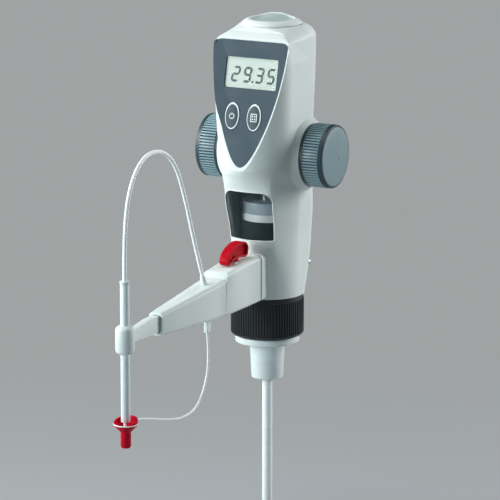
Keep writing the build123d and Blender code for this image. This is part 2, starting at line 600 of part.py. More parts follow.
# Delivery valve and ducts
duct = rod_y(7.5, -53.3, -34.5, 0, DUCT_Z) - rod_y(2, -60, -20, 0, DUCT_Z)
duct = duct + (rod_y(7.5, -34.5, -27, 0, DUCT_Z) - rod_y(6 + RUN, -35, -20, 0, DUCT_Z))
duct = duct - rod_y(6 + RUN, -30.2, -20, 0, DUCT_Z) - skin
save("discharge_duct", duct)
body = cyl(VALVE_R, 49, 69, 0, VALVE_Y) - cyl(PLUG_R + RUN, 52, 70, 0, VALVE_Y)
body = body - rod_y(2, -75, -50, 0, DUCT_Z)
save("discharge_valve", body)
spindle = cyl(PLUG_R, 52.3, 80.4, 0, VALVE_Y) - rod_y(2, -70, -50, 0, DUCT_Z)
save("valve_spindle", spindle)
under = 54.6
INNER = [(VALVE_Y - VALVE_R - 0.2, DUCT_Z), (-101.3, under - 0.5),
         (HOSE[0][0] - hose_dir[0] * 2.1, HOSE[0][1] - hose_dir[1] * 2.1)]
save("inner_duct", cord(INNER, HOSE_R))

# Lever: an arched wing along the arm
wing = Polyline((-41.2, 84.4), (-42.4, 81.4), (-46.0, 79.6), (-55.0, 79.2), (-68.0, 79.2), (-73.6, 78.0),
                (-76.8, 77.8), (-78.4, 80.0), (-77.0, 83.6), (-73.0, 87.0), (-67.0, 90.2), (-59.5, 92.3),
                (-51.0, 92.8), (-45.4, 91.4), (-42.0, 88.4), close=True)
lever = extrude(Plane.YZ.offset(-4.3) * make_face(wing), 8.6)
recess = Polyline((-46.2, 83.4), (-52.0, 81.6), (-64.0, 81.6), (-70.6, 81.4), (-69.0, 84.2), (-63.5, 87.2),
                  (-57.5, 88.9), (-51.0, 89.2), (-47.2, 87.8), close=True)
for x in (-4.6, 1.8):
    lever = lever - extrude(Plane.YZ.offset(x) * make_face(recess), 2.8)
lever = lever + cyl(6.4, 78.9, 81.4, 0, VALVE_Y) - cyl(PLUG_R, 70, 80.4, 0, VALVE_Y)
save("valve_lever", lever)

# Sliding extension, discharge tube and its cap
bar = box(-BAR_HALF, BAR_HALF, -203, -140, 48.7, 61.3)
neck = loft([Plane.XZ.offset(203) * Pos(0, 55) * Rectangle(2 * BAR_HALF, 12.6),
             Plane.XZ.offset(233) * Pos(0, 53.6) * Rectangle(5.0, 8.4)])
barrel = turned([(0, 42), (5.6, 42), (7.0, 43.2), (7.5, 45.2), (7.5, 60.4), (7.0, 62.4), (5.4, 63.8), (0, 64)],
                0, TUBE_Y)
extension = bar + neck + barrel - cyl(TUBE_R + RUN, 30, 80, 0, TUBE_Y)
save("arm_extension", extension)
tube_bore = HOSE_R + RUN
save("discharge_tube", cyl(TUBE_R, TUBE_LOW, TUBE_TOP, 0, TUBE_Y) - cyl(tube_bore, -20, 100, 0, TUBE_Y))
save("tube_sleeve", cyl(3.9, TUBE_TOP, TUBE_TOP + 2.4, 0, TUBE_Y) - cyl(tube_bore, 90, 100, 0, TUBE_Y))
save("discharge_tip", cyl(HOSE_R, -26, 2, 0, TUBE_Y) - cyl(0.5, -27, 3, 0, TUBE_Y))
cap_form = turned([(0, -32.5), (3.2, -32.5), (4.1, -31.4), (4.1, -20), (9.0, -15), (9.4, -14),
                   (9.4, -8.6), (8.4, -8.6), (8.2, -13.6), (2.2, -16.4), (2.0, -29.5), (0, -29.5)],
                  0, TUBE_Y)
tilt = Pos(0, TUBE_Y, -11.4) * Rot(14, 0, 0) * box(-12, 12, -14, 14, 0, 12)
cap_piece = cap_form - tilt
cap_piece = cap_piece + box(-1.6, 1.6, TUBE_Y + 8.9, TUBE_Y + 10.6, -14.2, -11.4)
save("tube_cap", cap_piece)

# Hose and strap
mid_hose = ((HOSE[4][0] + HOSE[5][0]) / 2, (HOSE[4][1] + HOSE[5][1]) / 2)
save("hose_rising", cord(HOSE[:5] + [mid_hose], HOSE_R))
save("hose_falling", cord([mid_hose] + HOSE[5:], HOSE_R))
STRAP = [(tab_y - 0.2, 29.4), (-101.2, 8.5), (-106.5, -12.5), (-121.0, -28.5), (-144.0, -31.5),
         (-169.0, -26.8), (-189.0, -21.2), (-209.5, -16.2), (TUBE_Y + 10.8, -12.7)]
mid_a = ((STRAP[3][0] + STRAP[4][0]) / 2, (STRAP[3][1] + STRAP[4][1]) / 2)
mid_b = ((STRAP[5][0] + STRAP[6][0]) / 2, (STRAP[5][1] + STRAP[6][1]) / 2)
save("strap_upper", cord(STRAP[:4] + [mid_a], STRAP_R))
save("strap_middle", cord([mid_a] + STRAP[4:6] + [mid_b], STRAP_R))
save("strap_lower", cord([mid_b] + STRAP[6:], STRAP_R))
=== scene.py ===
# %% [markdown]
# # A digital burette, dressed in Blender
# A digital burette sits on a reagent bottle. Two handwheels lift and lower a piston, and the liquid
# leaves through an arm, a thin hose and a hanging tube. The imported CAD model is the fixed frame:
# every node of it already lies in its place, in metres, and this lesson gives each visible piece
# its finish and adds the detail that a CAD solid leaves out. The frame is loaded first, and its box
# is kept, because nothing added later may grow past it.

# %% Load the frame
import bpy
import bmesh
import json
from math import atan2, cos, degrees, hypot, pi, radians, sin
from mathutils import Matrix, Vector
from mathutils.bvhtree import BVHTree
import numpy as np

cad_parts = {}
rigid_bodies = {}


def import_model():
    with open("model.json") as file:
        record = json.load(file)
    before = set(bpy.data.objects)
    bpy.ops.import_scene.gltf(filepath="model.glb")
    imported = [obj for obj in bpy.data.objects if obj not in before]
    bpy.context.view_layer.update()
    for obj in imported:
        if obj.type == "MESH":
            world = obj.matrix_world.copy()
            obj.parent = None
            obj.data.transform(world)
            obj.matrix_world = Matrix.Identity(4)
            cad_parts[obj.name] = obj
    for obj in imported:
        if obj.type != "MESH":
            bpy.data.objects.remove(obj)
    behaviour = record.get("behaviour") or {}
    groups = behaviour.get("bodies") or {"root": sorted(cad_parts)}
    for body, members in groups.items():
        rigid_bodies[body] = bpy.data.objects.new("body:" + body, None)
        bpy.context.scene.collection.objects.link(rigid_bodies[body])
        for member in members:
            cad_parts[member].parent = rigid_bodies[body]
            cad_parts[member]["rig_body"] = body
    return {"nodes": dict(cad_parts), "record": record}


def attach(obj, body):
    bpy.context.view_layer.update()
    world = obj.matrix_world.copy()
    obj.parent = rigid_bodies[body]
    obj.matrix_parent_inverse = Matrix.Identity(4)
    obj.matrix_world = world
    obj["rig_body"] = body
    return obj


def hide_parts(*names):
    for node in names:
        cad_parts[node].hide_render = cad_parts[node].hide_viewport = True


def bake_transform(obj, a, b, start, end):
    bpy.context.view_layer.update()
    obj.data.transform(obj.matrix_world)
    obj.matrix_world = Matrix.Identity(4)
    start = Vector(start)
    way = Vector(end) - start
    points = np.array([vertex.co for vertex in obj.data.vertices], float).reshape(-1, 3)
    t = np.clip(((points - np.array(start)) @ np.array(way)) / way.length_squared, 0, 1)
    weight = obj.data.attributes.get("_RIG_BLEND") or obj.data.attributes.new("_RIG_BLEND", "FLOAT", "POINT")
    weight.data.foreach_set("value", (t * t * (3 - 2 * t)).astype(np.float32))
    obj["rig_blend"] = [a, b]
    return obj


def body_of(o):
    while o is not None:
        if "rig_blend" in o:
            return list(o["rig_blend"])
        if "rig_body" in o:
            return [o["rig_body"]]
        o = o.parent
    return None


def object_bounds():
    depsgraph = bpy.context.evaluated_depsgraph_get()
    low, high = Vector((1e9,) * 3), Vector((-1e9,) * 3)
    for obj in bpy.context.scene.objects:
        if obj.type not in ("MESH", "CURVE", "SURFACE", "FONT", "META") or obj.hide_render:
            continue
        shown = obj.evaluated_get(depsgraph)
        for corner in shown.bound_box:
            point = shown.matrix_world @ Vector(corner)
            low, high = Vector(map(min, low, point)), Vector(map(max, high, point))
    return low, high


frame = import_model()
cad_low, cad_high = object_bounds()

MM = 0.001
scene = bpy.context.scene
nodes = frame["nodes"]
print("nodes", len(nodes), "box in mm", [round(v / MM, 1) for v in (*cad_low, *cad_high)])

# %% [markdown]
# ## Camera
# The picture is taken from the right of the display and a little above it, from so far away that
# upright edges stay nearly parallel. A long lens at three metres gives that. The camera is turned
# to the middle of the frame, and needs no shift.

# %% Camera
TURN, RISE, AWAY = radians(27.3), radians(11.6), 3.0
AIM = Vector((0, 0, 0.140))
AIM_AT = (17.4, 77.5)        # where the aim point lies, in pixels right of and above the frame's middle
LENS_PIXELS = 3690
IMAGE = 500

back = Vector((sin(TURN) * cos(RISE), -cos(TURN) * cos(RISE), sin(RISE)))
right = Vector((cos(TURN), sin(TURN), 0))
upward = back.cross(right)
look = -back - right * (AIM_AT[0] / LENS_PIXELS) - upward * (AIM_AT[1] / LENS_PIXELS)
lens = bpy.data.cameras.new("camera")
lens.sensor_width = 36
lens.lens = 36 * LENS_PIXELS / IMAGE
lens.clip_start, lens.clip_end = 0.1, 60
camera = bpy.data.objects.new("camera", lens)
scene.collection.objects.link(camera)
camera.location = AIM + back * AWAY
camera.rotation_euler = look.to_track_quat("-Z", "Y").to_euler()
scene.camera = camera
print("lens", round(lens.lens, 1), "mm")

# %% [markdown]
# ## Hose and strap
# The hose is soft tube of 3.2 mm that springs up from the arm, turns over and drops into the
# discharge tube. The strap is a thin cord that holds the red cap. Both are laid as one smooth
# NURBS line through the route's points. The route is cut where the next moving part takes over, so
# that each length can bend between two bodies. The lengths share the direction of the run that they
# are cut in, and so meet without a kink.

# %% Routes of the cords
HOSE_R, STRAP_R = 1.6 * MM, 0.9 * MM
HOSE = [(-106.2, 64.6), (-122.5, 100.0), (-138.5, 142.0), (-155.5, 176.5), (-181.0, 191.5),
        (-209.5, 188.8), (-229.5, 167.5), (-236.7, 131.6), (-236.5, 96.6)]
STRAP = [(-104.2, 29.4), (-101.2, 8.5), (-106.5, -12.5), (-121.0, -28.5), (-144.0, -31.5),
         (-169.0, -26.8), (-189.0, -21.2), (-209.5, -16.2), (-225.7, -12.7)]


def between(points, i):
    """Middle of the run from point i to the next."""
    return tuple((a + b) / 2 for a, b in zip(points[i], points[i + 1]))


hose_cut = between(HOSE, 4)
strap_cuts = between(STRAP, 3), between(STRAP, 5)
ROUTES = {
    "hose_rising": (HOSE[:5] + [hose_cut], HOSE_R, "head", "extension"),
    "hose_falling": ([hose_cut] + HOSE[5:], HOSE_R, "extension", "spout"),
    "strap_upper": (STRAP[:4] + [strap_cuts[0]], STRAP_R, "head", "extension"),
    "strap_middle": ([strap_cuts[0]] + STRAP[4:6] + [strap_cuts[1]], STRAP_R, "extension", "spout"),
    "strap_lower": ([strap_cuts[1]] + STRAP[6:], STRAP_R, "spout", "spout_cap"),
}
print("cord pieces", list(ROUTES))

# %% Lay the cords


def nurbs_line(name, route):
    """A NURBS curve through the plane of symmetry, with the route as its control points."""
    curve = bpy.data.curves.new(name, "CURVE")
    curve.dimensions = "3D"
    line = curve.splines.new("NURBS")
    line.points.add(len(route) - 1)
    for point, (y, z) in zip(line.points, route):
        point.co = (0, y * MM, z * MM, 1)
    line.order_u = 3
    line.use_endpoint_u = True
    line.resolution_u = 24
    return curve


def mesh_of(curve, name):
    """What a curve looks like as a mesh."""
    carrier = bpy.data.objects.new(name, curve)
    mesh = bpy.data.meshes.new_from_object(carrier)
    bpy.data.objects.remove(carrier)
    mesh.name = name
    return mesh


cords = {}
for name, (route, radius, from_body, to_body) in ROUTES.items():
    curve = nurbs_line(name, route)
    line = [v.co.copy() for v in mesh_of(curve, name + "_line").vertices]
    curve.bevel_depth = radius
    curve.bevel_resolution = 5
    curve.use_fill_caps = True
    tube = bpy.data.objects.new(name + "_tube", mesh_of(curve, name + "_tube"))
    scene.collection.objects.link(tube)
    tube.data.shade_smooth()
    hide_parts(name)
    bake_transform(tube, from_body, to_body, start=line[0], end=line[-1])
    cords[name] = tube

# %% [markdown]
# ## Finishes
# Most of the burette is moulded plastic. Its colour is never quite even, its gloss drifts a little
# where hands and the mould have touched it, and the steel mould leaves a fine spark grain. One
# helper builds these three things from noise in object coordinates, so that a pattern sits on the
# piece and not on the camera. What is the same all over goes straight into the shader's own socket.

# %% A helper for finishes


def srgb(r, g, b):
    """A colour as a paint chart gives it, from 0 to 255, turned into linear light."""
    return tuple((v / 255 / 12.92) if v <= 10 else ((v / 255 + 0.055) / 1.055) ** 2.4 for v in (r, g, b))


def finish(name, colour, rough=0.4, cloud=0.04, cloud_scale=30, drift=0.06, grain=0.0, grain_scale=900,
           stretch=(1, 1, 1), **same_all_over):
    """A surface with soft clouds in its colour, a drift in its gloss and a fine grain."""
    material = bpy.data.materials.new(name)
    material.use_nodes = True
    tree = material.node_tree
    link = tree.links.new
    shader = tree.nodes["Principled BSDF"]
    coords = tree.nodes.new("ShaderNodeTexCoord")
    mapping = tree.nodes.new("ShaderNodeMapping")
    mapping.inputs["Scale"].default_value = stretch
    link(coords.outputs["Object"], mapping.inputs["Vector"])

    clouds = tree.nodes.new("ShaderNodeTexNoise")
    clouds.inputs["Scale"].default_value = cloud_scale
    clouds.inputs["Detail"].default_value = 4
    link(mapping.outputs[0], clouds.inputs["Vector"])
    tones = tree.nodes.new("ShaderNodeValToRGB")
    tones.color_ramp.elements[0].position = 0.3
    tones.color_ramp.elements[1].position = 0.7
    tones.color_ramp.elements[0].color = (*[c * (1 - cloud) for c in colour], 1)
    tones.color_ramp.elements[1].color = (*[min(1, c * (1 + cloud)) for c in colour], 1)
    link(clouds.outputs["Fac"], tones.inputs[0])
    link(tones.outputs[0], shader.inputs["Base Color"])

    gloss = tree.nodes.new("ShaderNodeMapRange")
    gloss.inputs["From Min"].default_value = 0.3
    gloss.inputs["From Max"].default_value = 0.7
    gloss.inputs["To Min"].default_value = rough - drift
    gloss.inputs["To Max"].default_value = rough + drift
    link(clouds.outputs["Fac"], gloss.inputs["Value"])
    link(gloss.outputs[0], shader.inputs["Roughness"])

    if grain:
        sparks = tree.nodes.new("ShaderNodeTexNoise")
        sparks.inputs["Scale"].default_value = grain_scale
        sparks.inputs["Detail"].default_value = 2
        bump = tree.nodes.new("ShaderNodeBump")
        bump.inputs["Strength"].default_value = grain
        bump.inputs["Distance"].default_value = 0.1 * MM
        link(mapping.outputs[0], sparks.inputs["Vector"])
        link(sparks.outputs["Fac"], bump.inputs["Height"])
        link(bump.outputs[0], shader.inputs["Normal"])
    for socket, value in same_all_over.items():
        shader.inputs[socket.replace("_", " ").title().replace("Ior", "IOR")].default_value = value
    return material


# %% [markdown]
# The colours are a cool, faintly green white for the housing, slate blue for the
# display panel, blue-grey for the handwheels, near black for the collar, a deep raspberry red for
# the lever and the cap. The thin-walled pieces that carry liquid are waxy fluoroplastic, which lets
# some light through, so they get a little transmission.

# %% The finishes
housing_white = finish("housing_white", srgb(222, 229, 226), rough=0.5, cloud=0.015, grain=0.12,
                       specular_ior_level=0.35)
cap_white = finish("cap_white", srgb(226, 232, 229), rough=0.48, cloud=0.015, grain=0.10,
                   specular_ior_level=0.35)
arm_white = finish("arm_white", srgb(220, 228, 225), rough=0.5, cloud=0.02, grain=0.12,
                   specular_ior_level=0.35)
spout_grey = finish("spout_grey", srgb(216, 227, 227), rough=0.35, cloud=0.02, grain=0.10)
panel_slate = finish("panel_slate", srgb(48, 67, 79), rough=0.5, cloud=0.05, cloud_scale=60, grain=0.15,
                     specular_ior_level=0.3)
button_slate = finish("button_slate", srgb(44, 60, 69), rough=0.55, cloud=0.05, grain=0.15)
# Printed white for the buttons' ovals and signs; where the ovals widen at the upper right it is a painted
# highlight.
print_and_painted_highlight = finish("print_and_painted_highlight", srgb(224, 232, 232), rough=0.5, cloud=0.03, cloud_scale=200)
bezel_black = finish("bezel_black", srgb(26, 34, 42), rough=0.45, cloud=0.05)
wheel_blue_grey = finish("wheel_blue_grey", srgb(130, 157, 165), rough=0.38, cloud=0.04, grain=0.2)
# Painted shade: the handwheel is one blue-grey plastic, and this darker tone stands for the shade in its
# grooves and on its end rings.
wheel_painted_shade = finish("wheel_painted_shade", srgb(42, 60, 69), rough=0.45, cloud=0.05, grain=0.2)
wheel_face_grey = finish("wheel_face_grey", srgb(118, 143, 149), rough=0.45, cloud=0.03, grain=0.3,
                         grain_scale=700)
# Painted shade: the cap is one white plastic, and this grey-green stands for the shade on the floor of its
# shallow dish.
cap_dish_painted_shade = finish("cap_dish_painted_shade", srgb(186, 200, 194), rough=0.4, cloud=0.03, grain=0.1)
# Painted highlight: the window rim is housing plastic, and this paler white stands for the line of light
# along it.
rim_painted_highlight = finish("rim_painted_highlight", srgb(232, 239, 238), rough=0.3, cloud=0.01)
collar_black = finish("collar_black", srgb(27, 32, 36), rough=0.4, cloud=0.08, grain=0.15)
raspberry = finish("raspberry", srgb(186, 0, 26), rough=0.42, cloud=0.05, grain=0.05,
                   specular_ior_level=0.1)
cap_raspberry = finish("cap_raspberry", srgb(196, 2, 40), rough=0.42, cloud=0.05, grain=0.05,
                       specular_ior_level=0.12)
adapter_clear = finish("adapter_clear", srgb(226, 235, 234), rough=0.28, cloud=0.01, grain=0.05,
                       transmission_weight=0.05, ior=1.49)
fluoro_white = finish("fluoro_white", srgb(244, 246, 246), rough=0.3, cloud=0.01, transmission_weight=0.05,
                      ior=1.35)
hose_white = finish("hose_white", srgb(252, 253, 253), rough=0.6, cloud=0.01, cloud_scale=120)
tube_grey = finish("tube_grey", srgb(228, 237, 240), rough=0.35, cloud=0.02)
strap_white = finish("strap_white", srgb(240, 243, 242), rough=0.35, cloud=0.02)
tab_white = finish("tab_white", srgb(232, 240, 238), rough=0.3, cloud=0.02, transmission_weight=0.08,
                   ior=1.45)
block_white = finish("block_white", srgb(214, 218, 216), rough=0.35, cloud=0.02, transmission_weight=0.2,
                     ior=1.45)
clear_glass = finish("clear_glass", srgb(112, 132, 140), rough=0.04, cloud=0.02, drift=0.02, alpha=0.07,
                     ior=1.47)
window_clear = finish("window_clear", srgb(104, 124, 132), rough=0.05, cloud=0.03, drift=0.02, alpha=0.05,
                      specular_ior_level=0.25)
cradle_dark = finish("cradle_dark", srgb(20, 34, 44), rough=0.55, cloud=0.08, grain=0.2)
piston_grey = finish("piston_grey", srgb(176, 188, 196), rough=0.3, cloud=0.03)
seal_white = finish("seal_white", srgb(253, 254, 254), rough=0.35, cloud=0.02)
rubber_black = finish("rubber_black", srgb(24, 25, 26), rough=0.7, cloud=0.1, grain=0.3)
lcd_green = finish("lcd_green", srgb(188, 200, 186), rough=0.3, cloud=0.015, cloud_scale=45)
lcd_ink = finish("lcd_ink", srgb(40, 52, 54), rough=0.4, cloud=0.04, cloud_scale=200)
brushed = finish("brushed", (0.60, 0.61, 0.63), rough=0.28, cloud=0.06, cloud_scale=120, grain=0.15,
                 stretch=(1, 1, 12), metallic=1.0)
bronze = finish("bronze", (0.62, 0.45, 0.24), rough=0.35, cloud=0.08, metallic=1.0)
gear_cream = finish("gear_cream", srgb(232, 228, 210), rough=0.45, cloud=0.03, grain=0.1)
board_green = finish("board_green", srgb(28, 92, 58), rough=0.35, cloud=0.10, cloud_scale=300)
cell_jacket = finish("cell_jacket", srgb(108, 112, 118), rough=0.3, cloud=0.06)
frame_grey = finish("frame_grey", srgb(96, 102, 106), rough=0.5, cloud=0.04, grain=0.2)
sensor_black = finish("sensor_black", srgb(22, 24, 26), rough=0.5, cloud=0.08)
ceramic_cream = finish("ceramic_cream", srgb(240, 236, 226), rough=0.15, cloud=0.02)
print("finishes", len(bpy.data.materials))

# %% [markdown]
# Every node of the frame gets its finish now. Those whose form is right as it is stay in the
# picture, and the rest are replaced piece by piece further on. The material goes into the slots of
# the node's object, and its mesh stays as it was packed.

# %% Dress the nodes
DRESS = {
    housing_white: "front_housing rear_housing battery_cover",
    cap_white: "top_cap",
    arm_white: "delivery_arm arm_extension",
    panel_slate: "display_panel",
    button_slate: "power_button mode_button",
    wheel_blue_grey: "left_handwheel right_handwheel",
    wheel_face_grey: "wheel_covers",
    collar_black: "screw_collar",
    raspberry: "valve_lever",
    cap_raspberry: "tube_cap",
    adapter_clear: "bottle_adapter",
    fluoro_white: "filling_valve suction_tube_upper suction_tube_lower valve_spindle discharge_tip "
                  "hose_gland",
    tube_grey: "discharge_tube",
    spout_grey: "tube_sleeve",
    tab_white: "strap_anchor",
    block_white: "valve_block discharge_duct discharge_valve",
    clear_glass: "glass_cylinder",
    window_clear: "window_pane display_window",
    cradle_dark: "cylinder_cradle battery_holder",
    piston_grey: "piston_head",
    seal_white: "piston_seal",
    rubber_black: "sealing_washer cylinder_seal",
    lcd_green: "lcd_module",
    brushed: "piston_rod wheel_shaft layshaft rack_pinion housing_screws drive_pinion switch_domes",
    bronze: "wheel_bushes",
    gear_cream: "reduction_gear",
    board_green: "circuit_board",
    cell_jacket: "batteries",
    frame_grey: "inner_frame",
    sensor_black: "encoder_sensor encoder_disc",
    ceramic_cream: "valve_ball",
    hose_white: "hose_rising hose_falling inner_duct",
    strap_white: "strap_upper strap_middle strap_lower",
}


def paint(piece, material):
    """Put one material into every slot of a piece's object."""
    if not piece.material_slots:
        piece.data.materials.append(material)
    for place in piece.material_slots:
        place.link = "OBJECT"
        place.material = material


dressed = set()
for material, names in DRESS.items():
    for name in names.split():
        paint(nodes[name], material)
        dressed.add(name)
for name, tube in cords.items():
    tube.data.materials.clear()
    paint(tube, hose_white if name.startswith("hose") else strap_white)
print("dressed", len(dressed), "left over", sorted(set(nodes) - dressed))

# %% [markdown]
# ## Helpers for modelling
# The operators act on whatever is selected, so each helper first deselects everything and makes its
# own piece active. Faces and edges are then picked by where they lie. A finished piece sits at the
# origin with its place in its mesh, rides on a body of the frame and hides the node it stands for.

# %% Select and finish a piece


def only(piece):
    """Deselect everything, then select this piece alone and make it active."""
    bpy.ops.object.select_all(action="DESELECT")
    piece.select_set(True)
    bpy.context.view_layer.objects.active = piece


def close_mesh():
    """Turn every face outwards and leave edit mode."""
    bpy.ops.mesh.select_all(action="SELECT")
    bpy.ops.mesh.normals_make_consistent(inside=False)
    bpy.ops.object.mode_set(mode="OBJECT")


def thicken(height):
    """Pull a flat mesh up by a height in millimetres and close it."""
    bpy.ops.mesh.select_all(action="SELECT")
    bpy.ops.mesh.extrude_region_move(TRANSFORM_OT_translate={"value": (0, 0, height * MM)})
    close_mesh()


def pick(piece, test, kind="faces"):
    """In edit mode, select the faces or edges whose middle and direction pass a test."""
    bpy.ops.mesh.select_mode(type="FACE" if kind == "faces" else "EDGE")
    bpy.ops.mesh.select_all(action="DESELECT")
    mesh = bmesh.from_edit_mesh(piece.data)
    count = 0
    for part in getattr(mesh, kind):
        if kind == "faces":
            chosen = test(part.calc_center_median(), part.normal)
        else:
            ends = [v.co for v in part.verts]
            chosen = test((ends[0] + ends[1]) / 2, ends[1] - ends[0])
        if chosen:
            part.select_set(True)
            count += 1
    mesh.select_flush_mode()
    bmesh.update_edit_mesh(piece.data)
    return count


def settle(piece, body, slot, material, *stands_for, smooth=40):
    """Apply the place, smooth the shallow edges, paint the piece and hand it to its body."""
    only(piece)
    bpy.ops.object.transform_apply(location=True, rotation=True, scale=True)
    if smooth:
        bpy.ops.object.shade_smooth_by_angle(angle=radians(smooth))
    if material:
        paint(piece, material)
    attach(piece, body)
    if stands_for:
        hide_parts(*stands_for)
    print(piece.name, "faces", len(piece.data.polygons))
    return piece


def use(piece, **settings):
    """Add a bevel with these settings and apply it."""
    only(piece)
    bevel = piece.modifiers.new("edges", "BEVEL")
    bevel.limit_method = "ANGLE"
    bevel.use_clamp_overlap = True
    for key, value in settings.items():
        setattr(bevel, key, value)
    bpy.ops.object.modifier_apply(modifier="edges")


# %% [markdown]
# Many pieces of the burette are turned or look turned. `turned` starts from a flat disc and pulls it
# up ring by ring, as one would do by hand with extrude and scale. `moulded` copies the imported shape
# of a node. Where an edge width is given, it merges the copy's loose triangles into faces and rounds
# its sharp edges, because a moulded edge always shows a fine line of light.

# %% Turned and moulded pieces
EDGE_TURN, EDGE_ROUNDS = 40, 2


def turned(name, rings, sides=96, centre=(0, 0, 0), along="z"):
    """Pull a disc up through rings of (radius, height) in millimetres."""
    bpy.ops.object.select_all(action="DESELECT")
    first, low = rings[0]
    bpy.ops.mesh.primitive_circle_add(vertices=sides, radius=first * MM, fill_type="NGON")
    piece = bpy.context.object
    piece.name = name
    bpy.ops.object.mode_set(mode="EDIT")
    bpy.ops.mesh.select_all(action="SELECT")
    bpy.ops.transform.translate(value=(0, 0, low * MM))
    for (r0, z0), (r1, z1) in zip(rings, rings[1:]):
        bpy.ops.mesh.extrude_region_move(TRANSFORM_OT_translate={"value": (0, 0, (z1 - z0) * MM)})
        bpy.ops.transform.resize(value=(r1 / r0, r1 / r0, 1), center_override=(0, 0, z1 * MM))
    close_mesh()
    if along == "x":
        piece.rotation_euler = (0, pi / 2, 0)
    piece.location = [v * MM for v in centre]
    only(piece)
    bpy.ops.object.transform_apply(location=True, rotation=True, scale=True)
    return piece


def moulded(node, edge, smooth, shape=None):
    """A copy of a node that stands for it, with its edges rounded where a width is given."""
    piece = bpy.data.objects.new(node + "_moulded", nodes[node].data.copy())
    scene.collection.objects.link(piece)
    if edge:
        only(piece)
        bpy.ops.object.mode_set(mode="EDIT")
        bpy.ops.mesh.select_all(action="SELECT")
        bpy.ops.mesh.remove_doubles(threshold=0.002 * MM)
        bpy.ops.mesh.dissolve_limited(angle_limit=radians(0.5))
        close_mesh()
    if shape:
        for vertex in piece.data.vertices:
            vertex.co = Vector(shape(*(vertex.co / MM))) * MM
    if edge:
        use(piece, width=edge * MM, segments=EDGE_ROUNDS, angle_limit=radians(EDGE_TURN))
    body = body_of(nodes[node])[0]
    return settle(piece, body, SLOT_OF.get(node), nodes[node].material_slots[0].material, node,
                  smooth=smooth)


SLOT_OF = {row["node"]: row["material_slot"] for row in frame["record"]["subparts"]}
print("nodes with a slot", len(SLOT_OF))

# %% [markdown]
# ## Moulded housing, arm and fittings
# The housing is two moulded halves with soft corners. The arm is a hollow box that narrows towards
# its tip. Their imported shapes are nearly right, so copies of them stand in the picture, and some are
# softened. The housing's faces are many and small, so its copy keeps the node's own shading,
# and the display panel and the pane keep theirs.

# %% Shapes that are softened
CAP_AT = (0, 7.5)
SEAM_Y = -92.0


def ease(low, high, value):
    """Rise softly from 0 to 1 between two values."""
    t = min(1, max(0, (value - low) / (high - low)))
    return t * t * (3 - 2 * t)


def domed(x, y, z):
    """The housing's flat top rises to the cap, and its front corners fall away."""
    out = hypot(x - CAP_AT[0], y - CAP_AT[1])
    if z > 246 and out > 24.6:
        z += ease(252, 259, z) * (1.8 - 1.8 * ease(25, 32, out) - 2.4 * ease(30, 40, out))
    pull = ease(248.5, 257, z) * ease(0, 28, -y)
    return x * (1 - 0.11 * pull), y + 2.0 * pull, z


edge_at = {}
for vertex in nodes["display_panel"].data.vertices:
    level = round(vertex.co.z / MM / 2)
    edge_at[level] = min(edge_at.get(level, 0), vertex.co.x / MM)


def wrapped(x, y, z):
    """The panel reaches a little further round the left corner, as far as the outline of the head."""
    level = round(z / 2)
    near = min(edge_at.get(k, 0) for k in range(level - 1, level + 2))
    if x < near + 2.4:
        shift = ease(180, 204, z)
        x, y = x - 1.5 * shift, y - 0.55 * shift
    return x, y, z


def flowing(x, y, z):
    """The arm's root runs into its tail without a step at the sides and with a slope on top."""
    if abs(y - SEAM_Y) < 0.1:
        if z > 71.2:
            y += 4.5 * ease(71.2, 75.4, z)
        elif abs(x) > 7.6:
            x = 11.05 * (1 if x > 0 else -1) if abs(x) > 10.8 else x
    return x, y, z


SHAPES = {"front_housing": domed, "rear_housing": domed, "display_panel": wrapped, "delivery_arm": flowing}

# %% Moulded copies
for node, edge, smooth in (("front_housing", 0, None), ("rear_housing", 0, None),
                           ("battery_cover", 0, None), ("delivery_arm", 0.8, 40),
                           ("arm_extension", 0.7, 40), ("display_panel", 0, None),
                           ("bottle_adapter", 0.6, 35), ("tube_cap", 0.3, 35), ("tube_sleeve", 0.35, 35),
                           ("strap_anchor", 0.4, 35), ("hose_gland", 0.25, 35), ("discharge_tube", 0.3, 35),
                           ("suction_tube_upper", 0.2, 35), ("suction_tube_lower", 0.2, 35),
                           ("window_pane", 0, None), ("piston_head", 0.3, 35), ("piston_seal", 0.3, 35)):
    moulded(node, edge, smooth, SHAPES.get(node))

# %% [markdown]
# ## Handwheels
# A handwheel is a drum with upright ribs round its middle and a smooth ring at each end. The drum is
# turned with four sides for each rib. Every second pair of sides in the middle is then pushed in
# towards the axis, which leaves the ribs standing. The left wheel is a mirrored copy.

# %% Right handwheel
WHEEL_AT = (0, 8, 157)
WHEEL_R, WHEEL_RIBS, GROOVE = 26.0, 66, 1.05
RIB_FROM, RIB_TO = 40.0, 53.6
WHEEL_RINGS = [(22, 52), (22, 37.4), (25.0, 37.4), (25.5, 37.9), (25.5, 39.6), (WHEEL_R, RIB_FROM),
               (WHEEL_R, RIB_TO), (25.8, 54.0), (25.8, 56.4), (25.4, 57.2), (24.9, 57.5), (24.45, 57.5),
               (24.45, 56.0), (6, 56.0)]


def round_wheel(point):
    """Angle of a point about the wheels' axis, in turns."""
    return (atan2(point.z - WHEEL_AT[2] * MM, point.y - WHEEL_AT[1] * MM) / (2 * pi)) % 1


right_wheel = turned("right_handwheel_body", WHEEL_RINGS, WHEEL_RIBS * 4, WHEEL_AT, along="x")
only(right_wheel)
bpy.ops.object.mode_set(mode="EDIT")
grooves = pick(right_wheel, lambda middle, normal: RIB_FROM * MM < middle.x < RIB_TO * MM
               and hypot(middle.y - WHEEL_AT[1] * MM, middle.z - WHEEL_AT[2] * MM) > 25.6 * MM
               and int(round_wheel(middle) * WHEEL_RIBS * 4) % 4 in (0, 1))
bpy.ops.mesh.extrude_region_move()
push = (WHEEL_R - GROOVE) / WHEEL_R
bpy.ops.transform.resize(value=(1, push, push),
                         center_override=((RIB_FROM + RIB_TO) / 2 * MM, WHEEL_AT[1] * MM, WHEEL_AT[2] * MM))
bpy.ops.object.mode_set(mode="OBJECT")
print("groove faces", grooves)
